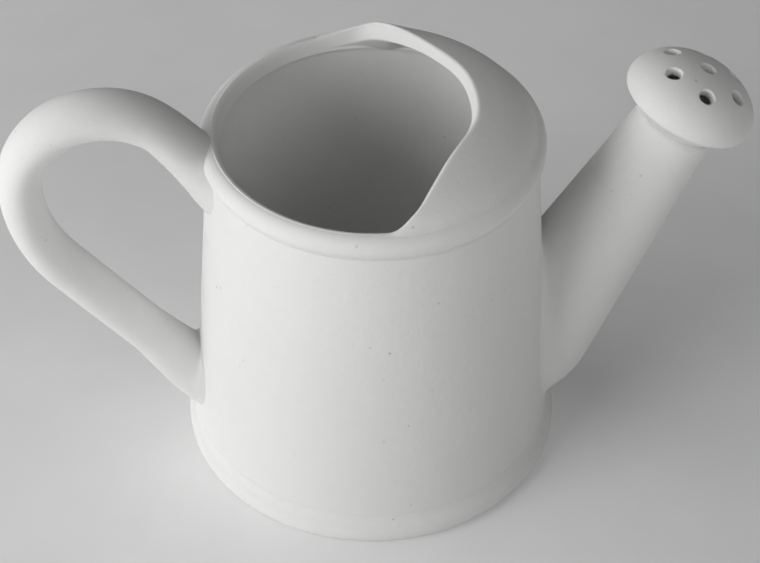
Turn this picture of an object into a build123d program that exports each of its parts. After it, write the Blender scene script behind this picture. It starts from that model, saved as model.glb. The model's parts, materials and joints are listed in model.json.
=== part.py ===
from build123d import *
import os
from math import atan2, cos, degrees, pi, radians, sin

# A table-top watering can in fired, unglazed white clay. Its pieces are the ones that a potter
# makes and lutes together while the clay is leather hard; after firing nothing on it moves.
# +X points along the spout, the handle is on -X, and Z = 0 is the table.

os.makedirs("parts", exist_ok=True)

# ---- driving dimensions, in millimetres and degrees ----
clay = 4.2                      # thickness of the body's wall

foot_radius = 60.0
foot_height = 8.5
foot_inner_radius = 53.0
foot_edge_radius = 58.4         # radius where the foot meets the table
foot_bulge_height = 3.7         # height of the foot's widest line
floor_thickness = 5.0

wall_base_radius = 57.4         # outside, where the wall stands on the foot

rim_centre_radius = 47.5
rim_centre_height = 114.4
rim_half_width = 3.8
rim_half_height = 4.1
rim_crease_angle = 60           # where the rim's underside meets the wall, below its centre
rim_inner_drop = 3.4            # how far the fettled inner edge falls from the rim's top
rim_inner_chamfer = 0.9         # the fettled edge's bulge, in from the corner it replaces

hood_base_radius = 48.1
hood_base_height = 117.6
hood_rise = 14.5                # height of the dome that the hood is cut from
hood_clay = 3.6
hood_overlap = 6.0              # how far the hood's ends run past the middle, towards the handle
hood_skirt = 1.0                # the hood's clay reaches this far below the rim's inner edge
mouth_arc_radius = 33.7         # rounded end of the mouth, under the spout side
mouth_height = 124.0            # level at which the mouth's outline is drawn
mouth_draft = 17.0              # the cut edge leans in by this angle as it goes down
mouth_reach = 29.6              # how far the mouth runs towards the spout
mouth_side_angle = 56.0         # slope of the mouth's straight sides from the X axis, in plan
mouth_corner_radius = 18.0
mouth_side_length = 60.0        # the straight sides are drawn well past the rim
mouth_rim_radius = 48.4         # the mouth clears the hood altogether on the handle side

spout_angle = 63.4              # slope of the spout above the table
spout_foot = (57.0, 41.0)       # X and Z of the point where the spout's axis crosses the wall
spout_foot_radius = 19.2
spout_tip_radius = 12.4
spout_length = 79.6
spout_clay = 3.4
spout_heel = -7.8               # along the axis from the foot point: the cone ends, the heel begins
spout_heel_end = -42.9          # the heel's arc would close on the axis here, inside the body
bore_heel_end = -34.2

rose_angle = 68.5               # slope of the rose's axis
rose_radius = 20.4
rose_dome_rise = 12.6
rose_neck_drop = 7.0            # from the rose's widest line down to the spout's tip
rose_clay = 3.0
rose_lip = ((0.45, 1.2), (1.7, 2.1))    # the rounded lip below the widest line: in, and down
rose_hole_radius = 2.2
rose_hole_depth = 8.0
rose_mouth_radius = 3.0         # softened mouth of each hole
rose_mouth_angle = 80.0
rose_ring_radius = 12.0
rose_ring_holes = 6
rose_ring_turn = -17.4

handle_half_width = 9.2         # across the hand
handle_half_thickness = 6.45
handle_top = 131.1              # height of the centre line's highest run
handle_reach = 104.1            # how far the centre line stands out from the can's axis
handle_arch_radius = 24.4
handle_bend_radius = 50.0
upper_joint = Vector(-56.6, 118.7)      # centre of the upper pad's outer face, as X and Z
upper_corner_x = -69.7                  # where the upper limb's line meets the top of the arch
lower_corner_height = 88.2
lower_slope = 52.6                      # the lower limb falls towards the wall at this slope
lower_length = 62.7                     # from the bend's corner to the lower pad's outer face
# each pad's sections from inside the wall outwards: X, Z, slope, half width, half height
upper_pad_sections = [(-46.0, 104.5, 180, 11.6, 13.0), (-51.8, 111.0, 155, 9.8, 8.6)]
lower_pad_sections = [(-53.5, 24.5, 180, 11.6, 14.0), (-61.0, 30.6, 150, 9.8, 10.2)]

# ---- shared shapes ----
oval_steps = 8                  # points along half of an oval section
rim_top = rim_centre_height + rim_half_height
wall_top = rim_centre_height - rim_half_height * sin(radians(rim_crease_angle))
wall_top_radius = rim_centre_radius + rim_half_width * cos(radians(rim_crease_angle))


def slanted(angle):
    """Unit vector in the XZ plane at an angle above +X."""
    return Vector(cos(radians(angle)), 0, sin(radians(angle)))


def station(centre_x, centre_z, angle):
    """Plane across a limb that runs at the given slope, with its first axis along Y."""
    return Plane(origin=(centre_x, 0, centre_z), x_dir=(0, 1, 0), z_dir=slanted(angle))


def finish(piece, name):
    """Label a piece and write it to its own file."""
    piece.part.label = name
    export_step(piece.part, f"parts/{name}.step")


# ---- floor slab and foot ----
with BuildPart() as floor_slab:
    with BuildSketch():
        Circle(foot_inner_radius)
    extrude(amount=floor_thickness)
finish(floor_slab, "floor_slab")

with BuildSketch(Plane.XZ) as foot_profile:
    with BuildLine():
        Polyline((wall_base_radius, foot_height), (foot_inner_radius, foot_height),
                 (foot_inner_radius, 0), (foot_edge_radius, 0))
        ThreePointArc((foot_edge_radius, 0), (foot_radius, foot_bulge_height),
                      (wall_base_radius, foot_height))
    make_face()

with BuildPart() as foot_ring:
    add(foot_profile.sketch)
    revolve(axis=Axis.Z)
finish(foot_ring, "foot_ring")

# ---- rolled rim ----
rim_inner_radius = wall_top_radius - clay
with BuildSketch(Plane.XZ) as rim_profile:
    with BuildLine():
        crest = EllipticalCenterArc((rim_centre_radius, rim_centre_height), rim_half_width,
                                    rim_half_height, start_angle=-rim_crease_angle,
                                    arc_size=rim_crease_angle + 90)
        ThreePointArc(crest @ 1,
                      (rim_inner_radius + rim_inner_chamfer, rim_top - rim_inner_chamfer),
                      (rim_inner_radius, rim_top - rim_inner_drop))
        Polyline((rim_inner_radius, rim_top - rim_inner_drop), (rim_inner_radius, wall_top),
                 crest @ 0)
    make_face()

with BuildPart() as rim_bead:
    add(rim_profile.sketch)
    revolve(axis=Axis.Z)
finish(rim_bead, "rim_bead")

# ---- outer envelope of the body, which trims whatever is luted onto it ----
with BuildPart() as envelope:
    with BuildSketch(Plane.XZ):
        with BuildLine():
            Polyline((0, 0), (foot_edge_radius, 0))
            ThreePointArc((foot_edge_radius, 0), (foot_radius, foot_bulge_height),
                          (wall_base_radius, foot_height))
            Polyline((wall_base_radius, foot_height), crest @ 0)
            add(crest)
            Polyline(crest @ 1, (0, rim_top), (0, 0))
        make_face()
    revolve(axis=Axis.Z)

# ---- spout ----
spout_run = slanted(spout_angle)
spout_origin = Vector(spout_foot[0], 0, spout_foot[1])
spout_plane = Plane(origin=spout_origin, x_dir=(spout_run.Z, 0, -spout_run.X), z_dir=(0, -1, 0))
tip_centre = spout_origin + spout_run * spout_length
tip_plane = Plane(origin=tip_centre, z_dir=slanted(rose_angle))
spout_taper = (spout_foot_radius - spout_tip_radius) / spout_length


def spout_form(clay_removed, heel_end):
    """A cone about the spout's axis, closed below by the round heel that sits on the wall."""
    top = spout_length + spout_tip_radius
    with BuildPart() as form:
        with BuildSketch(spout_plane):
            with BuildLine():
                side = Line(*[(spout_foot_radius - clay_removed - spout_taper * distance, distance)
                              for distance in (top, spout_heel)])
                TangentArc(side @ 1, (0, heel_end), tangent=side % 1)
                Polyline((0, heel_end), (0, top), side @ 0)
            make_face()
        revolve(axis=Axis(spout_origin, spout_run))
    return form.part


spout_bore = spout_form(spout_clay, bore_heel_end)

with BuildPart() as spout_tube:
    add(spout_form(0, spout_heel_end))
    split(bisect_by=tip_plane, keep=Keep.BOTTOM)
    add(spout_bore, mode=Mode.SUBTRACT)
    add(envelope.part, mode=Mode.SUBTRACT)
finish(spout_tube, "spout_tube")

# ---- tapered wall, with the port that lets water into the spout ----
with BuildPart() as body_wall:
    with BuildSketch(Plane.XZ):
        with BuildLine():
            Polyline((wall_base_radius, foot_height), (wall_top_radius, wall_top),
                     (wall_top_radius - clay, wall_top), (wall_base_radius - clay, foot_height),
                     close=True)
        make_face()
    revolve(axis=Axis.Z)
    add(spout_bore, mode=Mode.SUBTRACT)
finish(body_wall, "body_wall")

# ---- hood: part of a dome, cut back by the mouth ----
side_run = Vector(-cos(radians(mouth_side_angle)), sin(radians(mouth_side_angle)))
arc_centre_x = mouth_reach - mouth_arc_radius
side_start = Vector(arc_centre_x + mouth_arc_radius * side_run.Y, -mouth_arc_radius * side_run.X)
side_end = side_start + side_run * mouth_side_length

with BuildSketch() as mouth_outline:
    Circle(mouth_rim_radius)
    with BuildSketch(mode=Mode.INTERSECT) as mouth_sides:
        with BuildLine():
            ThreePointArc((side_start.X, -side_start.Y), (mouth_reach, 0),
                          (side_start.X, side_start.Y))
            Polyline((side_start.X, side_start.Y), (side_end.X, side_end.Y),
                     (-foot_radius, side_end.Y), (-foot_radius, -side_end.Y),
                     (side_end.X, -side_end.Y), (side_start.X, -side_start.Y))
        make_face()
    corners = mouth_outline.vertices().filter_by(lambda v: abs(v.Y) > mouth_arc_radius)
    fillet(corners, mouth_corner_radius)

hood_foot = rim_top - rim_inner_drop - hood_skirt

with BuildPart() as hood:
    with BuildSketch(Plane.XZ):
        with BuildLine():
            outer = EllipticalCenterArc((0, hood_base_height), hood_base_radius, hood_rise,
                                        start_angle=0, arc_size=90)
            inner = EllipticalCenterArc((0, hood_base_height), rim_inner_radius,
                                        hood_rise - hood_clay, start_angle=0, arc_size=90)
            Line(outer @ 1, inner @ 1)
            Polyline(inner @ 0, (rim_inner_radius, hood_foot), (hood_base_radius, hood_foot),
                     outer @ 0)
        make_face()
        add(rim_profile.sketch, mode=Mode.SUBTRACT)
    revolve(axis=Axis.Z)
    with BuildSketch(Plane.XY.offset(mouth_height)):
        add(mouth_outline.sketch)
    extrude(amount=wall_top - mouth_height, taper=mouth_draft, mode=Mode.SUBTRACT)
    with BuildSketch(Plane.XY.offset(mouth_height)):
        add(mouth_outline.sketch)
    extrude(amount=hood_rise, taper=-mouth_draft, mode=Mode.SUBTRACT)
    split(bisect_by=Plane.YZ.offset(-hood_overlap), keep=Keep.TOP)
finish(hood, "hood")

# ---- rose: a flared collar and a pierced dome ----
rose_run = slanted(rose_angle)
rose_centre = tip_centre + rose_run * rose_neck_drop
rose_plane = Plane(origin=rose_centre, x_dir=(rose_run.Z, 0, -rose_run.X),
                   z_dir=(0, -1, 0))
rose_axis = Axis(rose_centre, rose_run)
bore_radius = spout_tip_radius - spout_clay
lip_points = [(rose_radius - inward, -down) for inward, down in rose_lip]

with BuildPart() as rose_collar:
    with BuildSketch(rose_plane):
        with BuildLine():
            Polyline((rose_radius - rose_clay, 0), (rose_radius, 0))
            ThreePointArc((rose_radius, 0), *lip_points)
            Polyline(lip_points[-1], (spout_tip_radius, -rose_neck_drop),
                     (bore_radius, -rose_neck_drop), (rose_radius - rose_clay, 0))
        make_face()
    revolve(axis=rose_axis)
finish(rose_collar, "rose_collar")

with BuildPart() as rose_face:
    with BuildSketch(rose_plane):
        with BuildLine():
            dome = EllipticalCenterArc((0, 0), rose_radius, rose_dome_rise,
                                       start_angle=0, arc_size=90)
            vault = EllipticalCenterArc((0, 0), rose_radius - rose_clay,
                                        rose_dome_rise - rose_clay, start_angle=0, arc_size=90)
            Line(dome @ 0, vault @ 0)
            Line(dome @ 1, vault @ 1)
        make_face()
    revolve(axis=rose_axis)
    hole_angles = [rose_ring_turn + 360 / rose_ring_holes * k for k in range(rose_ring_holes)]
    across, along = Vector(rose_plane.x_dir), Vector(0, 1, 0)
    hole_planes = [Plane(origin=(rose_centre + rose_run * rose_dome_rise),
                         z_dir=rose_run)]
    ring_height = rose_dome_rise * (1 - (rose_ring_radius / rose_radius) ** 2) ** 0.5
    for angle in hole_angles:
        outward = -across * cos(radians(angle)) - along * sin(radians(angle))
        spot = rose_centre + outward * rose_ring_radius + rose_run * ring_height
        lean = (outward * (rose_ring_radius / rose_radius**2)
                + rose_run * (ring_height / rose_dome_rise**2))
        hole_planes.append(Plane(origin=spot, z_dir=lean))
    with Locations(*hole_planes):
        CounterSinkHole(rose_hole_radius, rose_mouth_radius, depth=rose_hole_depth,
                        counter_sink_angle=rose_mouth_angle)
finish(rose_face, "rose_face")

# ---- handle ----
lower_run = Vector(cos(radians(lower_slope)), -sin(radians(lower_slope)))
lower_joint = Vector(-handle_reach, lower_corner_height) + lower_run * lower_length
upper_slope = degrees(atan2(handle_top - upper_joint.Y, upper_corner_x - upper_joint.X))
upper_face = station(upper_joint.X, upper_joint.Y, upper_slope)
lower_face = station(lower_joint.X, lower_joint.Y, 180 - lower_slope)

with BuildPart() as handle:
    with BuildLine(Plane.XZ):
        FilletPolyline((upper_joint.X, upper_joint.Y), (upper_corner_x, handle_top),
                       (-handle_reach, handle_top), (-handle_reach, lower_corner_height),
                       (lower_joint.X, lower_joint.Y),
                       radius=[handle_arch_radius, handle_arch_radius, handle_bend_radius])
    with BuildSketch(upper_face):
        Ellipse(handle_half_width, handle_half_thickness)
    sweep()
finish(handle, "handle")


# ---- the two flared pads that lute the handle to the body ----
def half_oval(half_width, half_height, side):
    """Points of half an ellipse, from its bottom (side 1) or from its top (side -1)."""
    turns = [-pi / 2 * side + pi * k / oval_steps for k in range(oval_steps + 1)]
    return [(half_width * cos(t), half_height * sin(t)) for t in turns]


def pad(sections, handle_face):
    """A flared pad: a loft from inside the wall out to the handle, trimmed to the body."""
    ovals = [(station(x, z, slope), half_width, half_height)
             for x, z, slope, half_width, half_height in sections]
    ovals.append((handle_face, handle_half_width, handle_half_thickness))
    with BuildPart() as piece:
        for plane, half_width, half_height in ovals:
            with BuildSketch(plane):
                with BuildLine():
                    for side in (1, -1):
                        Spline(half_oval(half_width, half_height, side),
                               tangents=[(side, 0), (-side, 0)])
                make_face()
        loft()
        add(envelope.part, mode=Mode.SUBTRACT)
    return piece


handle_upper_pad = pad(upper_pad_sections, upper_face)
finish(handle_upper_pad, "handle_upper_pad")

handle_lower_pad = pad(lower_pad_sections, lower_face)
finish(handle_lower_pad, "handle_lower_pad")
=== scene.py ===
# %% [markdown]
# # A small bisque watering can
#
# The can is thrown, turned and luted together from a handful of clay pieces, then fired once
# and left bare. It holds its shape by clay alone: a floor, a foot, a tapered wall, a rolled
# rim, half a dome for a hood, a straight spout with a pierced rose, and one pulled strap for a
# handle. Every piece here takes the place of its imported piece, and is made again with the soft
# edges, fillets and small unevenness that hands and a sponge leave. Where clay is smeared over a
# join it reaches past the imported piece: 9 mm further round the rim at one of the hood's tails,
# 5 mm below the handle's lower foot, and a few millimetres elsewhere.

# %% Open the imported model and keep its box
import json
from math import acos, atan2, cos, degrees, hypot, pi, radians, sin, sqrt, tan

import bmesh
import bpy
from mathutils import Matrix, Vector


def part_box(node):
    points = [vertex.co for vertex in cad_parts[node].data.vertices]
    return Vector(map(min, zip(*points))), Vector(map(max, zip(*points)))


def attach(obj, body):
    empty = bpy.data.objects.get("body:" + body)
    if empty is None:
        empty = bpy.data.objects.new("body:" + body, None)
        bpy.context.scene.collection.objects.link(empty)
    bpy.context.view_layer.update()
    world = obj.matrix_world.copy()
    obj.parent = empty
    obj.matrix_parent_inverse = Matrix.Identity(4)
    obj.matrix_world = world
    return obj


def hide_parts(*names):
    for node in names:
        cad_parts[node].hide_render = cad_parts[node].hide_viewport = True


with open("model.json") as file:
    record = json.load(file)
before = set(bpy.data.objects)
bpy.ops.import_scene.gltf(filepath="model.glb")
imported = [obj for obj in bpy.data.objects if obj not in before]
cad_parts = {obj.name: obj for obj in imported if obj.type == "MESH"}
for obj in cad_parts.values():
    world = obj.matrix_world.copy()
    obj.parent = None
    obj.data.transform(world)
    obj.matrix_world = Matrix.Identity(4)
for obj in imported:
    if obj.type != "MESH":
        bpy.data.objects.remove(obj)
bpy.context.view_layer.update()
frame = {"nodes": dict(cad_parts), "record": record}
record = frame["record"]
MM = 0.001
print("pieces in the packed model:", sorted(frame["nodes"]))

# %% [markdown]
# ## The sizes that the pieces share
#
# A potter works from a few callipers: the foot, the wall at its base and top, the rim and the
# hood's height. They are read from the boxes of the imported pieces, in millimetres, so that the
# pieces made here meet where those do. A box says nothing about clay thickness, a section or a
# slope, so those are the drawing's own numbers, written down where they are used. Each piece
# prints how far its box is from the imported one's.

# %% Read the callipers
def box_mm(node):
    """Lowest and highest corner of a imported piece, in millimetres."""
    low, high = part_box(node)
    return low / MM, high / MM


foot_width = 7.0
foot_inner = box_mm("floor_slab")[1].x
foot_radius = foot_inner + foot_width
foot_height = box_mm("foot_ring")[1].z
floor_top = box_mm("floor_slab")[1].z
wall_base = box_mm("body_wall")[1].x
wall_top = box_mm("body_wall")[1].z
rim_high = box_mm("rim_bead")[1]
rim_outer, rim_top = rim_high.x, rim_high.z
hood_top = box_mm("hood")[1].z
clay = 4.2
rim_half_width, rim_half_height, rim_crease_turn = 3.8, 4.1, 60
rim_middle = (rim_outer - rim_half_width, rim_top - rim_half_height)
wall_top_radius = rim_middle[0] + rim_half_width * cos(radians(rim_crease_turn))
rim_inner = wall_top_radius - clay


def wall_radius(z):
    """Outside radius of the tapered wall at a height."""
    return wall_base + (wall_top_radius - wall_base) * (z - foot_height) / (wall_top - foot_height)


def inner_radius(z):
    """Inside radius of the wall at a height, carried on up into the rim."""
    return wall_radius(z) - clay


print("foot", round(foot_radius, 2), "wall", round(wall_base, 2), "to", round(wall_top_radius, 2),
      "rim", round(rim_outer, 2), "at", round(rim_top, 2), "hood to", round(hood_top, 2))

# %% [markdown]
# ## Writing a finish as sums
#
# A finish is a graph of nodes, and a graph is easier to read as arithmetic. `Value` holds one
# output of a node. Adding or multiplying two of them adds the Math node that does it, and the
# reflected forms let a plain number stand on either side. `Finish.node` makes any other node.

# %% A small language for finishes
class Value:
    """One output socket of a node, usable in Python sums."""

    def __init__(self, finish, socket):
        self.finish, self.socket = finish, socket

    def sum_with(self, operation, first, second, clamp=False):
        return self.finish.node("ShaderNodeMath", {"operation": operation, "use_clamp": clamp},
                                {0: first, 1: second})

    def __add__(self, other):
        return self.sum_with("ADD", self, other)

    def __radd__(self, other):
        return self.sum_with("ADD", other, self)

    def __sub__(self, other):
        return self.sum_with("SUBTRACT", self, other)

    def __rsub__(self, other):
        return self.sum_with("SUBTRACT", other, self)

    def __mul__(self, other):
        return self.sum_with("MULTIPLY", self, other)

    def __rmul__(self, other):
        return self.sum_with("MULTIPLY", other, self)

    def clamped(self):
        return self.sum_with("ADD", self, 0.0, clamp=True)


class Finish:
    """A material whose nodes are added one call at a time."""

    def __init__(self, name):
        self.material = bpy.data.materials.new(name)
        self.material.use_nodes = True
        self.tree = self.material.node_tree
        self.tree.nodes.clear()

    def node(self, kind, settings=None, inputs=None, output=0):
        made = self.tree.nodes.new(kind)
        for key, value in (settings or {}).items():
            if key == "stops":
                ramp = made.color_ramp
                while len(ramp.elements) < len(value):
                    ramp.elements.new(0.5)
                for element, (place, shade) in zip(ramp.elements, value):
                    element.position = place
                    element.color = (shade, shade, shade, 1)
            else:
                setattr(made, key, value)
        for key, value in (inputs or {}).items():
            if isinstance(value, Value):
                self.tree.links.new(value.socket, made.inputs[key])
            else:
                made.inputs[key].default_value = value
        return Value(self, made.outputs[output]) if made.outputs else None


# %% [markdown]
# ## Bare fired clay
#
# Bisque is matt and chalky, almost without shine. Close to, it has a fine sandy tooth, a few
# darker grog specks, pinholes, and broad faint clouds where the sponge dragged slip about.
# All of it is read from Object coordinates, so that the grain runs on from piece to piece as
# it does in one lump of clay. The sandy tooth is a bump, the specks change colour and sink a
# little, the pinholes sink and carry a little painted shade in their colour, and the clouds
# move the colour by a few hundredths only.

# %% The bisque finish
def bisque(base):
    """Unglazed white clay: clouds, sandy tooth, specks, and pinholes with painted shade in them."""
    finish = Finish("fired_clay")
    place = finish.node("ShaderNodeTexCoord", output="Object")

    def noise(scale, detail, rough=0.5):
        return finish.node("ShaderNodeTexNoise", {"noise_dimensions": "3D"},
                           {"Vector": place, "Scale": scale, "Detail": detail,
                            "Roughness": rough})

    def spots(scale, stops):
        """Round spots at the cell centres of a scattered pattern."""
        cells = finish.node("ShaderNodeTexVoronoi", {"feature": "F1"},
                            {"Vector": place, "Scale": scale, "Randomness": 1.0})
        return finish.node("ShaderNodeValToRGB", {"stops": stops}, {"Fac": cells})

    clouds = noise(22.0, 3.0)
    mottle = noise(240.0, 4.0, 0.6)
    tooth = noise(1900.0, 3.0, 0.7)
    drag = noise(90.0, 2.0)
    sparse = finish.node("ShaderNodeValToRGB", {"stops": [(0.56, 0.0), (0.66, 1.0)]},
                         {"Fac": noise(60.0, 1.0)})
    specks = spots(210.0, [(0.0, 1.0), (0.07, 0.8), (0.11, 0.0)]) * sparse
    pinhole_pits_and_shade = spots(330.0, [(0.0, 1.0), (0.08, 0.5), (0.12, 0.0)])

    # painted shade: the pinholes darken the colour a little, as shade in the pits would
    tone = 0.90 + 0.05 * clouds + 0.035 * mottle - 0.30 * specks - 0.05 * pinhole_pits_and_shade
    colour = finish.node("ShaderNodeMix", {"data_type": "RGBA", "blend_type": "MULTIPLY"},
                         {"Factor": 1.0, "A": (*base, 1.0), "B": tone.clamped()}, output=2)
    relief = 0.55 * tooth + 0.9 * mottle + 1.6 * drag - 1.2 * specks - 0.5 * pinhole_pits_and_shade
    bump = finish.node("ShaderNodeBump", None,
                       {"Height": relief, "Strength": 0.32, "Distance": 0.00035})
    roughness = (0.80 + 0.14 * mottle + 0.05 * tooth).clamped()
    clay_shader = finish.node("ShaderNodeBsdfPrincipled", None,
                              {"Base Color": colour, "Roughness": roughness, "Normal": bump,
                               "Specular IOR Level": 0.28, "IOR": 1.5})
    finish.node("ShaderNodeOutputMaterial", None, {"Surface": clay_shader})
    return finish.material


clay_slot = record["materials"][0]
fired_clay = bisque(tuple(clay_slot["base_color"][:3]))
print("finish for slot", clay_slot["slot"], "has", len(fired_clay.node_tree.nodes), "nodes")

# %% [markdown]
# ## From a list of points to a piece
#
# Most helpers below end in a list of points and faces. One function makes the mesh, welds
# what meets, turns the faces outwards, shades it smoothly, and gives it the finish. Points
# are in millimetres until this last step.

# %% Make, finish and mount a piece
def piece_from(name, points, faces, weld=0.001):
    """A closed mesh object from points in millimetres."""
    form = bmesh.new()
    corners = [form.verts.new(Vector(p) * MM) for p in points]
    for face in faces:
        if len(set(face)) > 2:
            form.faces.new([corners[k] for k in face])
    bmesh.ops.remove_doubles(form, verts=form.verts, dist=weld * MM)
    bmesh.ops.dissolve_degenerate(form, edges=form.edges, dist=0.1 * weld * MM)
    bmesh.ops.recalc_face_normals(form, faces=form.faces)
    mesh = bpy.data.meshes.new(name)
    form.to_mesh(mesh)
    form.free()
    made = bpy.data.objects.new(name, mesh)
    bpy.context.scene.collection.objects.link(made)
    return made


def mount(made, *nodes):
    """Smooth shading, the clay finish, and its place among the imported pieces."""
    mesh = made.data
    mesh.materials.clear()
    mesh.materials.append(fired_clay)
    mesh.shade_smooth()
    form = bmesh.new()
    form.from_mesh(mesh)
    open_edges = sum(not edge.is_manifold for edge in form.edges)
    volume = form.calc_volume(signed=True)
    form.free()
    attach(made, "root")
    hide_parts(*nodes)
    boxes = [box_mm(node) for node in nodes]
    off = 0.0
    for axis in range(3):
        reached = [vertex.co[axis] / MM for vertex in mesh.vertices]
        off = max(off, abs(min(reached) - min(low[axis] for low, high in boxes)),
                  abs(max(reached) - max(high[axis] for low, high in boxes)))
    print(f"{made.name}: {len(mesh.polygons)} faces, {open_edges} open edges, "
          f"{volume * 1e9:.0f} mm3 of clay, box within {off:.1f} mm of {', '.join(nodes)}")
    return made


def grid_faces(rows, columns, wrap=True):
    """Quads between neighbouring rows of a grid of points."""
    last = columns if wrap else columns - 1
    return [(r * columns + c, r * columns + (c + 1) % columns,
             (r + 1) * columns + (c + 1) % columns, (r + 1) * columns + c)
            for r in range(rows - 1) for c in range(last)]


# %% [markdown]
# ## The wheel
#
# A thrown or turned piece is a profile carried round an axis, which is a rule and not a
# sculpture. The rule is kept as a Geometry Nodes tree: it takes the profile as a string of
# points, lays a grid of profile points by turns, and turns each copy of the profile by its
# share of a full circle. Spin or a Screw modifier would do the same, but the tree keeps its
# sizes as named inputs and closes the seam in the same step.

# %% Build the wheel
def socket(tree, name, kind, in_out="INPUT"):
    return tree.interface.new_socket(name=name, in_out=in_out, socket_type=kind)


class Geometry:
    """Adds geometry nodes one call at a time and links what it is given."""

    def __init__(self, name):
        self.tree = bpy.data.node_groups.new(name, "GeometryNodeTree")
        self.input = self.tree.nodes.new("NodeGroupInput")
        self.output = self.tree.nodes.new("NodeGroupOutput")

    def node(self, kind, settings=None, inputs=None, output=0):
        made = self.tree.nodes.new(kind)
        for key, value in (settings or {}).items():
            setattr(made, key, value)
        for key, value in (inputs or {}).items():
            if isinstance(value, bpy.types.NodeSocket):
                self.tree.links.new(value, made.inputs[key])
            else:
                made.inputs[key].default_value = value
        return made.outputs[output]

    def maths(self, operation, first, second=0.0):
        return self.node("ShaderNodeMath", {"operation": operation}, {0: first, 1: second})

    def finish(self, geometry):
        """Real, welded geometry in the clay finish, as the tree's one output."""
        real = self.node("GeometryNodeRealizeInstances", None, {0: geometry})
        dressed = self.node("GeometryNodeSetMaterial", None,
                            {"Geometry": real, "Material": self.input.outputs["Finish"]})
        self.tree.links.new(dressed, self.output.inputs[0])
        return self.tree


def build_wheel():
    g = Geometry("the_wheel")
    socket(g.tree, "Profile", "NodeSocketGeometry")
    socket(g.tree, "Points", "NodeSocketInt")
    socket(g.tree, "Turns", "NodeSocketInt")
    socket(g.tree, "Finish", "NodeSocketMaterial")
    socket(g.tree, "Turned", "NodeSocketGeometry", "OUTPUT")
    given = g.input.outputs
    grid = g.node("GeometryNodeMeshGrid", None,
                  {"Vertices X": given["Points"],
                   "Vertices Y": g.maths("ADD", given["Turns"], 1.0)})
    index = g.node("GeometryNodeInputIndex")
    row_length = g.maths("ADD", given["Turns"], 1.0)
    row = g.maths("FLOOR", g.maths("DIVIDE", g.maths("ADD", index, 0.5), row_length))
    turn = g.maths("MODULO", index, row_length)
    angle = g.maths("MULTIPLY", g.maths("DIVIDE", turn, given["Turns"]), 2 * pi)
    where = g.node("GeometryNodeInputPosition")
    on_profile = g.node("GeometryNodeSampleIndex",
                        {"data_type": "FLOAT_VECTOR", "domain": "POINT"},
                        {"Geometry": given["Profile"], "Value": where, "Index": row})
    swung = g.node("ShaderNodeVectorRotate", {"rotation_type": "Z_AXIS"},
                   {"Vector": on_profile, "Angle": angle})
    placed = g.node("GeometryNodeSetPosition", None, {"Geometry": grid, "Position": swung})
    welded = g.node("GeometryNodeMergeByDistance", None, {"Geometry": placed, "Distance": 1e-6})
    return g.finish(welded)


wheel = build_wheel()


def run_tree(name, tree, start, **inputs):
    """Evaluates a tree on a starting mesh and keeps the result as a plain mesh object."""
    host = bpy.data.objects.new(name, start)
    bpy.context.scene.collection.objects.link(host)
    live = host.modifiers.new("tree", "NODES")
    live.node_group = tree
    keys = {item.name: item.identifier for item in tree.interface.items_tree
            if item.in_out == "INPUT"}
    for key, value in inputs.items():
        live[keys[key]] = value
    graph = bpy.context.evaluated_depsgraph_get()
    result = bpy.data.meshes.new_from_object(host.evaluated_get(graph))
    host.modifiers.clear()
    host.data = result
    return host


def string_of(name, profile):
    """A profile in (radius, height), millimetres, as a mesh of loose points in order."""
    mesh = bpy.data.meshes.new(name)
    mesh.from_pydata([(r * MM, 0.0, z * MM) for r, z in profile], [], [])
    return mesh


def point_outwards(made):
    form = bmesh.new()
    form.from_mesh(made.data)
    bmesh.ops.remove_doubles(form, verts=form.verts, dist=1e-7)
    bmesh.ops.dissolve_degenerate(form, edges=form.edges, dist=1e-8)
    on_axis = [edge for edge in form.edges if not edge.link_faces]
    bmesh.ops.delete(form, geom=on_axis, context="EDGES")
    bmesh.ops.recalc_face_normals(form, faces=form.faces)
    if form.calc_volume(signed=True) < 0:
        bmesh.ops.reverse_faces(form, faces=form.faces)
    form.to_mesh(made.data)
    form.free()
    return made


def turned(name, profile, turns=256):
    """A piece turned from a closed profile."""
    closed = profile + profile[:1]
    made = run_tree(name, wheel, string_of(name + "_profile", closed),
                    Points=len(closed), Turns=turns, Finish=fired_clay)
    return point_outwards(made)


print("the wheel has", len(wheel.nodes), "nodes")

# %% [markdown]
# ## Drawing a profile
#
# A profile is drawn with three strokes: a straight run, an arc of an ellipse, and a short
# curve pulled towards a corner, which is how a wet finger rounds an edge or fills a crease.

# %% Three strokes
def run(start, end, steps=8):
    return [tuple(a + (b - a) * k / steps for a, b in zip(start, end)) for k in range(steps + 1)]


def arc(middle, half_width, half_height, start, end, steps=16):
    turns = [radians(start + (end - start) * k / steps) for k in range(steps + 1)]
    return [(middle[0] + half_width * cos(t), middle[1] + half_height * sin(t)) for t in turns]


def pulled(start, corner, end, steps=8):
    """A curve from start to end that leaves and arrives along the lines to the corner."""
    stroke = []
    for k in range(steps + 1):
        t = k / steps
        stroke.append(tuple((1 - t) ** 2 * a + 2 * t * (1 - t) * c + t * t * b
                            for a, c, b in zip(start, corner, end)))
    return stroke


def joined(*strokes):
    """The strokes end to end, without the points that they share."""
    line = []
    for stroke in strokes:
        for point in stroke:
            if not line or hypot(point[0] - line[-1][0], point[1] - line[-1][1]) > 1e-4:
                line.append(point)
    if hypot(line[0][0] - line[-1][0], line[0][1] - line[-1][1]) < 1e-4:
        line.pop()
    return line


# %% [markdown]
# ## Floor and foot
#
# The floor is a slab, and the foot a thick coil turned to a soft half round that carries the
# can on a flat ring. Inside, slip is smeared into the corner between floor and wall. Both are
# plain turned profiles. The foot's top runs out up the wall in a shallow cove, so the crease
# between them is soft and not a hard line.

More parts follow.
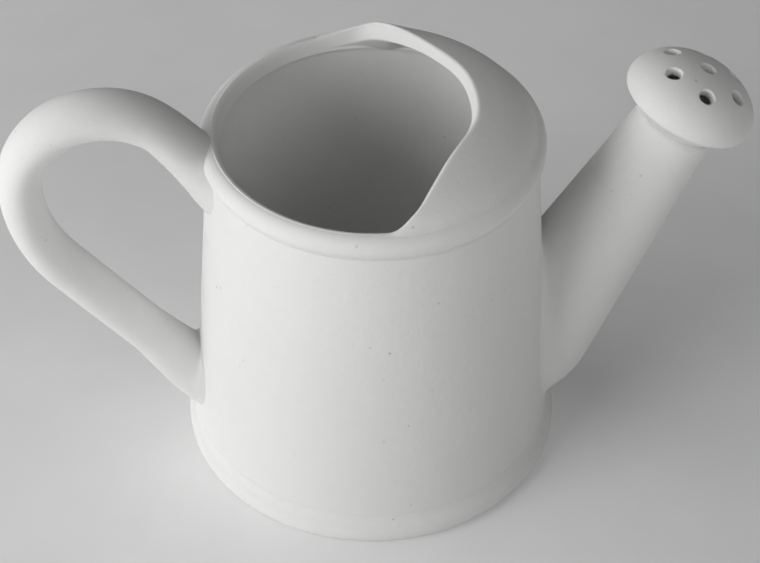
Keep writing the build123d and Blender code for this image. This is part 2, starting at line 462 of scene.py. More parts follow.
# %% Turn the floor and the foot
floor_inside = wall_radius(floor_top) - clay
floor_profile = joined(
    run((0.0, 0.0), (foot_inner - 0.5, 0.0), 24),
    pulled((foot_inner - 0.5, 0.0), (foot_inner, 0.0), (foot_inner, 0.5), 3),
    run((foot_inner, 0.5), (foot_inner, floor_top - 0.3), 4),
    [(floor_inside + 0.4, floor_top + 4.6)],
    pulled((floor_inside - 0.37, floor_top + 4.6), (floor_inside, floor_top),
           (floor_inside - 5.0, floor_top), 10),
    run((floor_inside - 5.0, floor_top), (0.0, floor_top), 24))
mount(turned("floor", floor_profile, 192), "floor_slab")

foot_edge, bulge = 58.4, 3.7
cove = foot_height + 2.2
foot_profile = joined(
    [(foot_inner, 0.5)],
    pulled((foot_inner, 0.5), (foot_inner, 0.0), (foot_inner + 0.5, 0.0), 3),
    run((foot_inner + 0.5, 0.0), (foot_edge - 0.9, 0.0), 6),
    pulled((foot_edge - 0.9, 0.0), (foot_edge + 0.15, 0.0), (foot_edge + 0.75, 0.95), 6),
    pulled((foot_edge + 0.75, 0.95), (foot_radius, 2.2), (foot_radius, bulge), 8),
    pulled((foot_radius, bulge), (foot_radius, 5.9), (foot_radius - 1.25, 7.0), 10),
    pulled((foot_radius - 1.25, 7.0), (wall_radius(8.3) + 0.05, 8.3), (wall_radius(cove), cove), 10),
    [(wall_radius(cove) - 0.5, cove), (foot_inner, foot_height)])
mount(turned("foot", foot_profile, 288), "foot_ring")

# %% [markdown]
# ## The wall and its port
#
# The wall is a tapered tube of even clay. Behind the spout an oval port is cut through it.
# The port is what the inside of the spout would take out of the wall, so the same cone is
# carried on through the wall and taken away with a Boolean. The spout's slope, foot point,
# length and end radii are the drawing's.

# %% The spout's line, and solids turned about it
spout_slope, rose_slope = 63.4, 68.5
spout_foot, spout_foot_radius = Vector((57.0, 0.0, 41.0)), 19.2
spout_tip_radius, spout_length, spout_clay = 12.4, 79.6, 3.4
heel_start = -7.8
spout_taper = (spout_foot_radius - spout_tip_radius) / spout_length
bore_end, past_tip = -34.0, spout_length + 8


def slanted(slope):
    return Vector((cos(radians(slope)), 0.0, sin(radians(slope))))


def standing(centre, slope):
    """Carries a piece turned about Z, in millimetres, to a slanted axis through a point."""
    along = slanted(slope)
    lower = Vector((along.z, 0.0, -along.x))
    side = along.cross(lower)
    turn = Matrix((lower, side, along)).transposed().to_4x4()
    return Matrix.Translation(centre * MM) @ turn


def tilt(made, centre, slope):
    made.data.transform(standing(centre, slope))
    return point_outwards(made)


def spout_radius(distance, taken=0.0):
    return spout_foot_radius - taken - spout_taper * distance


bore_profile = joined(
    [(0.0, bore_end)],
    pulled((0.0, bore_end), (spout_radius(bore_end + 4.0, spout_clay) - 3.0, bore_end),
           (spout_radius(heel_start, spout_clay), heel_start), 16),
    run((spout_radius(heel_start, spout_clay), heel_start),
        (spout_radius(past_tip, spout_clay), past_tip), 10),
    [(0.0, past_tip)])
bore = tilt(turned("bore_of_spout", bore_profile, 96), spout_foot, spout_slope)

# %% Turn the wall and cut the port
seam = 0.04
wall_profile = joined(
    run((wall_base, foot_height), (wall_top_radius, wall_top), 48),
    run((wall_top_radius, wall_top), (rim_inner, wall_top), 2),
    # a point close to the corner keeps its soft shading from spreading down the wall
    [(inner_radius(wall_top - seam), wall_top - seam)],
    run((inner_radius(wall_top - 1.0), wall_top - 1.0), (wall_base - clay, foot_height), 48),
    run((wall_base - clay, foot_height), (wall_base, foot_height), 2))
wall = turned("wall", wall_profile, 256)


def taken_from(made, tool):
    """Cuts one closed piece out of another and removes the tool."""
    cut = made.modifiers.new("cut", "BOOLEAN")
    cut.operation, cut.solver, cut.object = "DIFFERENCE", "EXACT", tool
    graph = bpy.context.evaluated_depsgraph_get()
    result = bpy.data.meshes.new_from_object(made.evaluated_get(graph))
    made.modifiers.clear()
    made.data = result
    bpy.data.objects.remove(tool)
    return made


mount(taken_from(wall, bore), "body_wall")

# %% [markdown]
# ## The rolled rim
#
# The top of the wall is rolled outwards into a bead. Its outside is a round bulge that sinks
# into the wall in a tight crease, and its inside is fettled: a bevel falls from the ridge
# towards the opening and ends in a slight overhang, tucked back to the line of the wall.

# %% Turn the rim
under, under_turn = 110.0, -35
ridge_end = (rim_middle[0] - 1.5, rim_top - 1.1)
bevel_end, tuck_end, overhang = rim_top - 4.1, rim_top - 4.7, 0.16
rim_fettled = joined(
    pulled((rim_middle[0] + 0.4, rim_top - 0.02), (rim_middle[0] - 0.9, rim_top), ridge_end, 6),
    pulled(ridge_end, (rim_inner + 0.1, rim_top - 2.3),
           (inner_radius(bevel_end) - overhang, bevel_end), 10))
rim_profile = joined(
    [(wall_top_radius - 0.1, wall_top - 0.1)],
    pulled((wall_top_radius, wall_top - 0.1), (wall_top_radius + 0.65, wall_top - 0.15),
           (rim_middle[0] + rim_half_width * cos(radians(under_turn)),
            rim_middle[1] + rim_half_height * sin(radians(under_turn))), 10),
    arc(rim_middle, rim_half_width, rim_half_height, under_turn, 84, 38),
    rim_fettled,
    pulled((inner_radius(bevel_end) - overhang, bevel_end),
           (inner_radius(bevel_end - 0.4) - overhang, bevel_end - 0.4),
           (inner_radius(tuck_end), tuck_end), 3),
    run((inner_radius(tuck_end), tuck_end), (inner_radius(wall_top + seam), wall_top + seam), 3),
    [(rim_inner, wall_top), (rim_inner + 0.6, wall_top - 0.6), (wall_radius(under) - 0.6, under)])
mount(turned("rim", rim_profile, 288), "rim_bead")

# %% [markdown]
# ## The hood
#
# The hood is a little under half of a shallow dome, set on the rim on the spout's side to keep
# the water in when the can is tipped. Its mouth is cut with a knife and wiped with a sponge:
# a rounded end over the spout, two nearly straight sides, and tails that die into the rim.
# It follows rules but not one axis, so it is laid out as a grid of points: one way along the
# cut edge, the other way over the lip, across the dome and down into the crease at the rim,
# and back underneath. The lip is rounded on top, its cut face leans in, and near the rim on
# one side it stands a little proud. Over its tails the section changes by degrees into the
# rim's own profile, sunk just under the rim's skin, so a tail fades out without a step.

# %% The dome and the cut edge
dome_radius, dome_base, dome_rise = 48.1, 117.6, 14.5
dome_clay = 3.6
mouth_reach, mouth_arc, mouth_slope, mouth_corner = 29.6, 33.7, 56.0, 18.0
mouth_end_radius = 48.4


def dome(r, radius=dome_radius, rise=dome_rise):
    return dome_base + rise * sqrt(max(0.0, 1 - (r / radius) ** 2))


def cut_edge(steps):
    """Plan points of the mouth's cut edge from the middle to the tail, on the +Y side."""
    middle = Vector((mouth_reach - mouth_arc, 0.0))
    normal = Vector((sin(radians(mouth_slope)), cos(radians(mouth_slope))))
    offset = normal.dot(middle) + mouth_arc - mouth_corner
    along = Vector((-normal.y, normal.x))
    reach = sqrt((mouth_end_radius - mouth_corner) ** 2 - offset ** 2)
    corner = normal * offset + along * reach
    turn = radians(90 - mouth_slope)
    ends = [middle + normal * mouth_arc, corner + normal * mouth_corner]
    corner_turn = atan2(corner.y, corner.x) - turn
    lengths = [mouth_arc * turn, (ends[1] - ends[0]).length, mouth_corner * corner_turn]
    edge = []
    for k in range(steps + 1):
        s = sum(lengths) * k / steps
        if s <= lengths[0]:
            a = s / mouth_arc
            edge.append(middle + Vector((cos(a), sin(a))) * mouth_arc)
        elif s <= lengths[0] + lengths[1]:
            edge.append(ends[0] + (ends[1] - ends[0]) * ((s - lengths[0]) / lengths[1]))
        else:
            a = turn + (s - lengths[0] - lengths[1]) / mouth_corner
            edge.append(corner + Vector((cos(a), sin(a))) * mouth_corner)
    return edge


# for each side, +Y and -Y: the circle that the tail follows, and the turns over which it fades
tail_radii = {1: 46.7, -1: 47.3}
tail_ends = {1: (80.0, 108.0), -1: (83.0, 99.0)}
edge_steps, tail_steps, wipes = 110, 24, 30


def tail(side):
    """The cut edge on one side of the can, carried on along the rim to the tail's end."""
    tail_radius = tail_radii[side]
    half = [p for p in cut_edge(edge_steps) if p.length < tail_radius]
    tail_start = degrees(atan2(half[-1].y, half[-1].x))
    turn = tail_ends[side][1] - tail_start
    round_rim = [radians(tail_start + turn * k / tail_steps) for k in range(1, tail_steps + 1)]
    line = half[1:] + [Vector((cos(t), sin(t))) * tail_radius for t in round_rim]
    return [Vector((p.x, side * p.y)) for p in line]


edge_line = list(reversed(tail(-1))) + cut_edge(edge_steps)[:1] + tail(1)
# the sponge rounds the corner where the cut edge turns along the rim
for wipe in range(wipes):
    edge_line = ([edge_line[0]]
                 + [(a + b * 2 + c) / 4 for a, b, c in zip(edge_line, edge_line[1:], edge_line[2:])]
                 + [edge_line[-1]])
print("cut edge:", len(edge_line), "points, from", tuple(round(v, 1) for v in edge_line[0]),
      "to", tuple(round(v, 1) for v in edge_line[-1]))


# %% Lay the hood's grid
def smooth_step(low, high, x):
    t = min(1.0, max(0.0, (x - low) / (high - low)))
    return t * t * (3 - 2 * t)


lip_round, lip_lean = 1.5, radians(17)
crease_radius, dome_edge = 47.25, 47.9
cove_pull, cove_end, root = (48.25, 118.55), 49.3, (48.6, 116.6)
hidden, hidden_z = rim_inner + 0.5, rim_top - 6.0
cove_turn = degrees(acos((cove_end - rim_middle[0]) / rim_half_width))
rim_over = list(reversed(joined(
    arc(rim_middle, rim_half_width, rim_half_height, cove_turn, 84, 12), rim_fettled)))


def at_share(line, share):
    """The point at a share of a line's length."""
    steps = [hypot(b[0] - a[0], b[1] - a[1]) for a, b in zip(line, line[1:])]
    left = sum(steps) * share
    for a, b, step in zip(line, line[1:], steps):
        if left <= step:
            t = left / step
            return a[0] + (b[0] - a[0]) * t, a[1] + (b[1] - a[1]) * t
        left -= step
    return line[-1]


face_steps, dome_steps, cove_steps, under_steps = 8, 26, 8, 12
over_steps = dome_steps + cove_steps
shares = ([0.05 + 0.40 * j / face_steps for j in range(face_steps)]
          + [0.45 + 0.55 * j / over_steps for j in range(over_steps + 1)])
buried = 0.96
rim_under = [tuple(m + (v - m) * buried for v, m in zip(at_share(rim_over, t), rim_middle))
             for t in shares]


def hood_section(k):
    """The hood's closed section that starts at one point of the cut edge, as (x, y, z)."""
    here = edge_line[k]
    before, after = edge_line[max(k - 1, 0)], edge_line[min(k + 1, len(edge_line) - 1)]
    run_dir = (after - before).normalized()
    into_mouth = Vector((-run_dir.y, run_dir.x))
    if into_mouth.dot(here) > 0:
        into_mouth = -into_mouth
    around = atan2(here.y, here.x)
    outward = Vector((cos(around), sin(around)))
    alive = 1 - smooth_step(*tail_ends[1 if here.y > 0 else -1], abs(degrees(around)))
    back = smooth_step(20.0, 44.0, here.y)
    wobble = 0.22 * sin(here.y / 6.1 + 0.4) + 0.12 * sin(here.y / 3.4 + 2.0)
    here = here + into_mouth * wobble * alive
    radius = here.length
    proud = 1.3 * back
    face = 3.3 + 2.3 * back
    top = dome(min(radius, dome_edge)) + proud
    low_point = here + into_mouth * (face * tan(lip_lean))
    low_z = top - face

    shown = []
    # the cut face, from its sharp lower corner up to the rounded lip
    for j in range(face_steps):
        t = j / face_steps
        plan = low_point + (here - low_point) * t
        shown.append((plan.x, plan.y, low_z + (top - lip_round - low_z) * t))
    # the rounded lip and the dome, out to where the crease starts
    span = max(crease_radius - radius, 0.3)
    for j in range(dome_steps + 1):
        gone = span * (j / dome_steps) ** 1.6
        reach = radius + gone
        inside_lip = lip_round - min(gone, lip_round)
        drop = lip_round - sqrt(lip_round ** 2 - inside_lip ** 2)
        fade = 1 - smooth_step(0.0, 9.0, gone)
        shown.append((outward.x * reach, outward.y * reach,
                      dome(min(reach, dome_edge)) + proud * fade - drop))
    # the cove at the rim
    end_z = rim_over[-1][1] - 0.02
    for r, z in pulled((radius + span, shown[-1][2]), cove_pull, (cove_end, end_z),
                       cove_steps)[1:]:
        shown.append((outward.x * r, outward.y * r, z))
    # towards its tail the section sinks into the rim's own profile
    section = []
    for (x, y, z), (r, height) in zip(shown, rim_under):
        section.append((outward.x * r + (x - outward.x * r) * alive,
                        outward.y * r + (y - outward.y * r) * alive,
                        height + (z - height) * alive))
    # buried in the rim, then back under the dome to the lower corner
    for r, z in (root, (hidden, hidden_z)):
        section.append((outward.x * r, outward.y * r, z))
    corner = Vector(section[0])
    corner_plan = Vector((corner.x, corner.y))
    hollow = smooth_step(6.0, 15.0, hidden - corner_plan.length)
    for j in range(1, under_steps):
        t = j / under_steps
        r = hidden + (min(corner_plan.length, hidden) - hidden) * t
        chord = hidden_z + (corner.z - hidden_z) * t
        ceiling = dome(r, rim_inner + 0.8, dome_rise - dome_clay)
        ceiling += (corner.z - ceiling) * smooth_step(0.5, 1.0, t)
        ceiling = chord + (ceiling - chord) * smooth_step(0.0, 0.12, t)
        level = chord + (max(ceiling, chord) - chord) * hollow
        aside = (corner_plan - outward * corner_plan.length) * smooth_step(0.0, 1.0, t)
        section.append((outward.x * r + aside.x, outward.y * r + aside.y, level))
    return section


sections = [hood_section(k) for k in range(len(edge_line))]
columns = len(sections[0])
hood_points = [p for section in sections for p in section]
hood_faces = grid_faces(len(sections), columns)
hood_faces.append(tuple(range(columns)))
hood_faces.append(tuple(reversed([(len(sections) - 1) * columns + c for c in range(columns)])))
mount(piece_from("half_dome", hood_points, hood_faces), "hood")

# %% [markdown]
# ## The spout
#
# The spout is a straight cone rolled from a slab, cut to fit the wall at a slant and luted on
# with a smear of slip all round. Its lower end is rounded off into a heel that runs down onto
# the foot's shoulder. The outside is laid out in lines that run from the wall to the tip, one
# every few degrees round the cone: each starts a millimetre inside the wall, flares into the
# smear, and then follows the cone. The inside is a second set of lines, and the two meet at the
# tip.

# %% Where the lines of the spout meet the wall
heel_radius = 35.7
spout_along = slanted(spout_slope)
spout_lower = Vector((spout_along.z, 0.0, -spout_along.x))
spout_side = Vector((0.0, 1.0, 0.0))
half_angle = atan2(spout_foot_radius - spout_tip_radius, spout_length)


def heel(distance, taken=0.0, curve=heel_radius):
    """Radius of the spout at a distance along its axis, with the rounded heel below."""
    if distance >= heel_start:
        return spout_radius(distance, taken)
    start = spout_radius(heel_start, taken)
    middle_r = start - curve * cos(half_angle)
    middle_d = heel_start - curve * sin(half_angle)
    rise = distance - middle_d
    return middle_r + sqrt(max(0.0, curve ** 2 - rise ** 2))


def on_spout(turn, distance, radius):
    """Point at a turn round the spout's axis, counted from its lowest line."""
    outward = spout_lower * cos(turn) + spout_side * sin(turn)
    return spout_foot + spout_along * distance + outward * radius


def outside(point):
    """How far a point stands outside the wall."""
    return hypot(point.x, point.y) - wall_radius(point.z)


def meets_wall(turn, taken=0.0, curve=heel_radius, skin=0.0):
    """Distance along the axis at which one line of the spout is a skin's depth off the wall."""
    low, high = -36.0, 60.0
    for _ in range(40):
        guess = (low + high) / 2
        if outside(on_spout(turn, guess, heel(guess, taken, curve))) > skin:
            high = guess
        else:
            low = guess
    return (low + high) / 2


print("the spout leaves the wall between heights",
      round(on_spout(0, meets_wall(0), heel(meets_wall(0))).z, 1), "and",
      round(on_spout(pi, meets_wall(pi), heel(meets_wall(pi))).z, 1))

# %% Lay the spout's lines
smear, smear_share, start_depth, bunching = 3.2, 0.75, 1.0, 1.7
bore_heel_radius = 26.0
tip_centre = spout_foot + spout_along * spout_length
tip_normal = slanted(rose_slope)


def tip_distance(turn, radius):
    """Distance along the axis at which a line reaches the slanted cut at the tip."""
    outward = spout_lower * cos(turn) + spout_side * sin(turn)
    return spout_length - radius * outward.dot(tip_normal) / spout_along.dot(tip_normal)


def along_wall(point, direction):
    """The part of a direction that runs along the wall's surface beside a point."""
    lean = (wall_top_radius - wall_base) / (wall_top - foot_height)
    normal = Vector((point.x, point.y, -lean * hypot(point.x, point.y))).normalized()
    return direction - normal * direction.dot(normal)


def spout_line(turn, taken, curve, fillet, steps=56):
    """One line of the spout from the wall to the tip."""
    start = meets_wall(turn, taken, curve, -start_depth)
    radial = spout_lower * cos(turn) + spout_side * sin(turn)
    end = tip_distance(turn, spout_tip_radius - taken)
    line = []
    for j in range(steps + 1):
        distance = start + (end - start) * (j / steps) ** bunching
        radius = heel(distance, taken, curve)
        point = on_spout(turn, distance, radius)
        clear = max(0.0, outside(point))
        if clear < fillet:
            flare = fillet - sqrt(fillet ** 2 - (fillet - clear) ** 2)
            point = point + along_wall(point, radial) * (smear_share * flare)
        line.append(point)
    return line


round_steps = 128
turns_round = [2 * pi * k / round_steps for k in range(round_steps)]
outer_lines = [spout_line(t, 0.0, heel_radius, smear) for t in turns_round]
inner_lines = [spout_line(t, spout_clay, bore_heel_radius, 0.0) for t in turns_round]
spout_loops = [outer + list(reversed(inner)) for outer, inner in zip(outer_lines, inner_lines)]
columns = len(spout_loops[0])
spout_points = [tuple(p) for loop in spout_loops for p in loop]
spout_faces = [(k * columns + c, k * columns + (c + 1) % columns,
                (k + 1) % round_steps * columns + (c + 1) % columns,
                (k + 1) % round_steps * columns + c)
               for k in range(round_steps) for c in range(columns)]
mount(piece_from("spout", spout_points, spout_faces), "spout_tube")

# %% [markdown]
# ## The rose
#
# The rose is a shallow dome pressed in a mould, on a flared collar. Its edge is soft, and it
# overhangs the collar a little. Seven holes are pushed through the dome while it is leather
# hard, one in the middle and six in a ring; each leaves a rounded mouth where the tool went
# in. The dome and collar are turned on the wheel. The holes repeat, so Geometry Nodes place
# one flared plug on each hole's spot, tip it to the dome's slope, and take them all away.

# %% Turn the collar and the dome
rose_radius, rose_rise, rose_drop, rose_clay = 20.4, 12.6, 7.0, 3.0
rose_centre = tip_centre + tip_normal * rose_drop
bore_radius = spout_tip_radius - spout_clay
collar_profile = joined(
    [(bore_radius, -rose_drop - 0.4), (spout_tip_radius - 0.35, -rose_drop - 0.4)],
    pulled((spout_tip_radius - 0.05, -rose_drop - 0.35), (spout_tip_radius + 0.15, -rose_drop + 0.1),
           (spout_tip_radius + 1.1, -rose_drop + 0.72), 5),
    run((spout_tip_radius + 1.1, -rose_drop + 0.72), (rose_radius - 1.9, -2.0), 8),
    [(rose_radius - 2.4, -0.6), (rose_radius - rose_clay - 0.2, -0.2)],
    run((rose_radius - rose_clay, 0.0), (bore_radius, -rose_drop), 8))
mount(tilt(turned("collar", collar_profile, 160), rose_centre, rose_slope), "rose_collar")

dome_profile = joined(
    arc((0.0, 0.0), rose_radius, rose_rise, 90, 6, 44),
    pulled((rose_radius * cos(radians(6)), rose_rise * sin(radians(6))),
           (rose_radius + 0.02, 0.15), (rose_radius - 0.2, -0.75), 6),
    pulled((rose_radius - 0.2, -0.75), (rose_radius - 0.55, -1.85), (rose_radius - 2.0, -2.05), 8),
    [(rose_radius - 2.5, -1.2), (rose_radius - rose_clay, 0.0)],
    arc((0.0, 0.0), rose_radius - rose_clay, rose_rise - rose_clay, 0, 90, 30))
rose_blank = turned("pierced_rose", dome_profile, 192)
print("rose blank:", len(rose_blank.data.polygons), "faces")

# %% Build the tree that pierces the dome
def build_piercer():
    g = Geometry("pierce_the_dome")
    socket(g.tree, "Blank", "NodeSocketGeometry")
    socket(g.tree, "Plug", "NodeSocketObject")
    socket(g.tree, "Ring Holes", "NodeSocketInt")
    socket(g.tree, "Ring Radius", "NodeSocketFloat")
    socket(g.tree, "Ring Turn", "NodeSocketFloat")
    socket(g.tree, "Dome Radius", "NodeSocketFloat")
    socket(g.tree, "Dome Rise", "NodeSocketFloat")
    socket(g.tree, "Finish", "NodeSocketMaterial")
    socket(g.tree, "Pierced", "NodeSocketGeometry", "OUTPUT")
    given = g.input.outputs
    ring = g.node("GeometryNodeMeshCircle", None,
                  {"Vertices": given["Ring Holes"], "Radius": given["Ring Radius"]})
    turned_ring = g.node("GeometryNodeTransform", None,
                         {"Geometry": ring,
                          "Rotation": g.node("ShaderNodeCombineXYZ", None,
                                             {2: given["Ring Turn"]})})
    centre = g.node("GeometryNodeMeshLine", None, {"Count": 1})
    join = g.tree.nodes.new("GeometryNodeJoinGeometry")
    g.tree.links.new(turned_ring, join.inputs[0])
    g.tree.links.new(centre, join.inputs[0])
    spots = g.node("GeometryNodeMeshToPoints", None, {"Mesh": join.outputs[0]})
    where = g.node("GeometryNodeInputPosition")
    apart = g.node("ShaderNodeSeparateXYZ", None, {0: where}).node
    out = g.node("ShaderNodeVectorMath", {"operation": "LENGTH"}, {0: where}, output="Value")
    share = g.maths("DIVIDE", out, given["Dome Radius"])
    height = g.maths("MULTIPLY", given["Dome Rise"],
                     g.maths("SQRT", g.maths("SUBTRACT", 1.0, g.maths("MULTIPLY", share, share))))
    raised = g.node("GeometryNodeSetPosition", None,
                    {"Geometry": spots,
                     "Position": g.node("ShaderNodeCombineXYZ", None,
                                        {0: apart.outputs[0], 1: apart.outputs[1], 2: height})})
    here = g.node("ShaderNodeSeparateXYZ", None,
                  {0: g.node("GeometryNodeInputPosition")}).node
    wide = g.maths("MULTIPLY", given["Dome Radius"], given["Dome Radius"])
    tall = g.maths("MULTIPLY", given["Dome Rise"], given["Dome Rise"])
    slope = g.node("ShaderNodeCombineXYZ", None,
                   {0: g.maths("DIVIDE", here.outputs[0], wide),
                    1: g.maths("DIVIDE", here.outputs[1], wide),
                    2: g.maths("DIVIDE", here.outputs[2], tall)})
    tipped = g.node("FunctionNodeAlignRotationToVector", {"axis": "Z"}, {"Vector": slope})
    plug = g.node("GeometryNodeObjectInfo", {"transform_space": "ORIGINAL"},
                  {"Object": given["Plug"]}, output="Geometry")
    plugs = g.node("GeometryNodeInstanceOnPoints", None,
                   {"Points": raised, "Instance": plug, "Rotation": tipped})
    solid_plugs = g.node("GeometryNodeRealizeInstances", None, {0: plugs})
    cut = g.node("GeometryNodeMeshBoolean", {"operation": "DIFFERENCE", "solver": "EXACT"},
                 {"Mesh 1": given["Blank"], "Mesh 2": solid_plugs})
    return g.finish(cut)


# %% Pierce it
hole_radius, hole_flare = 2.2, 1.0
plug_profile = joined(
    [(0.0, -6.5)],
    run((hole_radius, -6.5), (hole_radius, -hole_flare - 0.3), 6),
    pulled((hole_radius, -hole_flare - 0.3), (hole_radius, -0.02),
           (hole_radius + hole_flare, 0.12), 8),
    [(hole_radius + hole_flare + 0.9, 0.45), (hole_radius + hole_flare + 0.9, 2.0), (0.0, 2.0)])
plug = turned("hole_plug", plug_profile, 40)
piercer = build_piercer()
pierced = run_tree("rose_face_pierced", piercer, rose_blank.data.copy(),
                   **{"Plug": plug, "Ring Holes": 6, "Ring Radius": 12.0 * MM,
                      "Ring Turn": radians(180 + 17.4), "Dome Radius": rose_radius * MM,
                      "Dome Rise": rose_rise * MM, "Finish": fired_clay})
rose_blank.data = pierced.data
bpy.data.objects.remove(pierced)
bpy.data.objects.remove(plug)
mount(tilt(rose_blank, rose_centre, rose_slope), "rose_face")

# %% [markdown]
# ## The handle
#
# The handle is one strap pulled from a lump of clay, oval in section, bent while it was soft
# and pressed on at both ends, where it spreads into a foot on the wall. The line and the oval
# are the imported handle's; the feet swell over the last two to three centimetres, and end inside
# the wall. The strap is laid as a string of ovals across the line. A curve with a bevel would
# give one section all along, so the ovals are laid one by one with a size for each.

# %% The strap's line
handle_low, handle_high = box_mm("handle")
strap_half_width = handle_high.y
strap_half_thickness = 6.45
arch_top = handle_high.z - strap_half_thickness
arch_reach = -(handle_low.x + strap_half_thickness)
upper_joint, upper_corner = Vector((-56.6, 118.7)), Vector((-69.7, arch_top))
lower_corner = Vector((-arch_reach, 88.2))
lower_run = Vector((cos(radians(-52.6)), sin(radians(-52.6))))
lower_joint = lower_corner + lower_run * 62.7


def bent(points, radii, step=1.2):
    """A line through the corners with an arc at each, as evenly spaced points."""
    line = [points[0]]
    for before, corner, after, radius in zip(points, points[1:], points[2:], radii):
        a, b = (before - corner).normalized(), (after - corner).normalized()
        opening = acos(max(-1.0, min(1.0, a.dot(b))))
        cut = radius / (sin(opening / 2) / cos(opening / 2))
        middle = corner + (a + b).normalized() * (radius / sin(opening / 2))
        first, last = corner + a * cut, corner + b * cut
        start = atan2(first.y - middle.y, first.x - middle.x)
        swing = (atan2(last.y - middle.y, last.x - middle.x) - start + pi) % (2 * pi) - pi
        count = max(2, int(abs(swing) * radius / step))
        for k in range(count + 1):
            t = start + swing * k / count
            line.append(middle + Vector((cos(t), sin(t))) * radius)
    line.append(points[-1])
    even = [line[0]]
    for a, b in zip(line, line[1:]):
        count = max(1, int((b - a).length / step))
        even += [a + (b - a) * (k / count) for k in range(1, count + 1)]
    return even


strap_line = bent([upper_joint, upper_corner, Vector((-arch_reach, arch_top)), lower_corner,
                   lower_joint], [24.4, 24.4, 50.0])
print("the strap runs", round(sum((b - a).length for a, b in zip(strap_line, strap_line[1:]))),
      "mm between its two feet, through", len(strap_line), "ovals")


# %% Spread the feet and lay the ovals
def spread(sections, steps=22):
    """Ovals between a few given ones: centre x and z, slope, half width, half height."""
    made = []
    for k in range(len(sections) - 1):
        p = [sections[max(k - 1, 0)], sections[k], sections[k + 1],
             sections[min(k + 2, len(sections) - 1)]]
        for j in range(steps):
            t = j / steps
            weights = (-0.5 * t ** 3 + t ** 2 - 0.5 * t, 1.5 * t ** 3 - 2.5 * t ** 2 + 1,
                       -1.5 * t ** 3 + 2 * t ** 2 + 0.5 * t, 0.5 * t ** 3 - 0.5 * t ** 2)
            made.append(tuple(sum(w * q[c] for w, q in zip(weights, p)) for c in range(5)))
    return made + [sections[-1]]


def slope_between(a, b):
    return degrees(atan2(b.y - a.y, b.x - a.x))


half_w, half_t = strap_half_width, strap_half_thickness
middle_ovals = []
for k, point in enumerate(strap_line):
    before, after = strap_line[max(k - 1, 0)], strap_line[min(k + 1, len(strap_line) - 1)]
    middle_ovals.append([point.x, point.y, slope_between(before, after) % 360, half_w, half_t])
swell, settle, foot_steps = 7, 16, 14
upper_foot = spread([(-47.9, 104.0, 180.0, 12.2, 13.2), (-50.3, 107.4, 168.0, 10.8, 11.0),
                     (-53.4, 112.6, 150.0, 9.8, 8.3), tuple(middle_ovals[swell]),
                     tuple(middle_ovals[settle])], foot_steps)[:3 * foot_steps]
lower_foot = spread([(-52.4, 23.6, 360.0, 12.6, 16.0), (-56.4, 26.6, 352.0, 11.0, 12.6),
                     (-60.9, 31.0, 331.0, 9.8, 9.4), tuple(middle_ovals[-1 - swell]),
                     tuple(middle_ovals[-1 - settle])], foot_steps)[:3 * foot_steps]
ovals = upper_foot + middle_ovals[swell:-swell] + list(reversed(lower_foot))
oval_points = 64
strap_points = []
for x, z, slope, wide, tall in ovals:
    up = Vector((-sin(radians(slope)), 0.0, cos(radians(slope))))
    for k in range(oval_points):
        t = 2 * pi * k / oval_points
        strap_points.append(tuple(Vector((x, 0.0, z)) + Vector((0.0, wide * cos(t), 0.0))
                                  + up * (tall * sin(t))))
strap_faces = grid_faces(len(ovals), oval_points)
strap_faces.append(tuple(range(oval_points)))
strap_faces.append(tuple(reversed([(len(ovals) - 1) * oval_points + k
                                   for k in range(oval_points)])))
mount(piece_from("pulled_strap", strap_points, strap_faces),
      "handle", "handle_upper_pad", "handle_lower_pad")

# %% [markdown]
# ## Table, light and camera
#
# The can stands on plain pale paper, and the paper carries painted light: far from the can it
# glows, so that it stays pale up to the horizon, and near the can its glow is weak, so that the
# undersides of the rim and the handle stay dark. Three panels on the left make a broad window
# that models the round body. Three weaker ones, on the right, behind on the left and overhead,
# keep the shadow side and the far rim open.
# The camera looks down at the can at about 43 degrees with a long lens.

# %% The table
table = bpy.data.meshes.new("table")
size = 20.0
table.from_pydata([(-size, -size, 0), (size, -size, 0), (size, size, 0), (-size, size, 0)], [],
                  [(0, 1, 2, 3)])
table_top = bpy.data.objects.new("table", table)
bpy.context.scene.collection.objects.link(table_top)
paper = Finish("pale_table")
paper_place = paper.node("ShaderNodeTexCoord", output="Object")
paper_grain = paper.node("ShaderNodeTexNoise", None,
                         {"Vector": paper_place, "Scale": 30.0, "Detail": 2.0})
paper_colour = paper.node("ShaderNodeValToRGB", {"stops": [(0.3, 0.80), (0.7, 0.83)]},
                          {"Fac": paper_grain})
paper_reach = paper.node("ShaderNodeVectorMath", {"operation": "LENGTH"}, {0: paper_place},
                         output="Value")
# painted light: the paper glows, weakly near the can and more strongly far from it
painted_paper_glow = paper.node("ShaderNodeValToRGB", {"stops": [(0.3, 0.06), (1.0, 0.45)]},
                        {"Fac": paper_reach})
paper.node("ShaderNodeOutputMaterial", None,
           {"Surface": paper.node("ShaderNodeBsdfPrincipled", None,
                                  {"Base Color": paper_colour, "Roughness": 0.9,
                                   "Emission Color": painted_paper_glow,
                                   "Emission Strength": 1.0})})
table.materials.append(paper.material)

# %% The light
# the lamps' own bearings are turns from this one, which faces the front of the can
lamps_face = -98.2
light_aim, light_reach = Vector((0.0, 0.0, 0.06)), 1.5


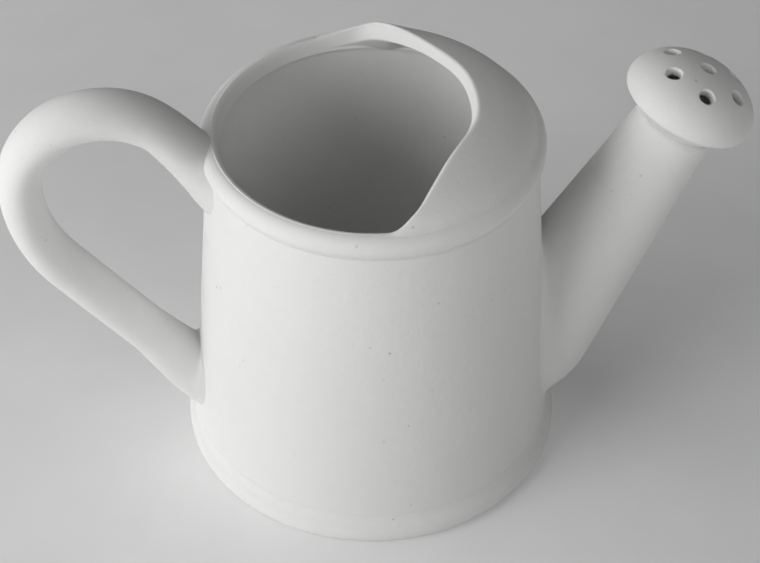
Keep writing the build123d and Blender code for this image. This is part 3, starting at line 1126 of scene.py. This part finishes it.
def towards(bearing, height):
    """Unit vector at a bearing from +X and a height above the table, in degrees."""
    around, up = radians(bearing), radians(height)
    return Vector((cos(around) * cos(up), sin(around) * cos(up), sin(up)))


def soft_light(name, bearing, height, width, power):
    """A round panel, placed by its turn from the front of the can and aimed at the can."""
    light = bpy.data.lights.new(name, "AREA")
    light.shape, light.size, light.energy = "DISK", width, power
    lamp = bpy.data.objects.new(name, light)
    away = towards(lamps_face + bearing, height)
    lamp.location = light_aim + away * light_reach
    lamp.rotation_euler = away.to_track_quat("Z", "Y").to_euler()
    bpy.context.scene.collection.objects.link(lamp)


for name, bearing, height, width, power in (
        ("window", -52, 20, 1.0, 9.3), ("window_side", -80, 12, 1.0, 5.1),
        ("window_top", -60, 50, 1.0, 2.4), ("fill", 35, 30, 1.0, 4.2),
        ("back", -115, 25, 1.0, 3.9), ("overhead", 0, 85, 1.2, 1.3)):
    soft_light(name, bearing, height, width, power)
world = bpy.data.worlds.new("studio")
world.use_nodes = True
background = world.node_tree.nodes["Background"]
background.inputs["Color"].default_value = (1, 1, 1, 1)
background.inputs["Strength"].default_value = 0.02
bpy.context.scene.world = world
bpy.context.scene.view_settings.view_transform = "Standard"

# %% The camera
# degrees round from +X, up from the table and tilted sideways, then millimetres from the aim
view_bearing, view_height, view_roll, view_distance = -98.25, 42.94, 0.58, 624.3
view_aim = Vector((1.93, -4.04, 60.0))
camera = bpy.data.cameras.new("camera")
camera.sensor_width, camera.lens = 36.0, 94.74
eye = bpy.data.objects.new("camera", camera)
view_back = towards(view_bearing, view_height)
level_right = Vector((0.0, 0.0, 1.0)).cross(view_back).normalized()
view_right = Matrix.Rotation(radians(view_roll), 3, view_back) @ level_right
view_up = view_back.cross(view_right)
eye.matrix_world = (Matrix.Translation((view_aim + view_back * view_distance) * MM)
                    @ Matrix((view_right, view_up, view_back)).transposed().to_4x4())
bpy.context.scene.collection.objects.link(eye)
bpy.context.scene.camera = eye
print("camera at", [round(v, 3) for v in eye.matrix_world.translation])
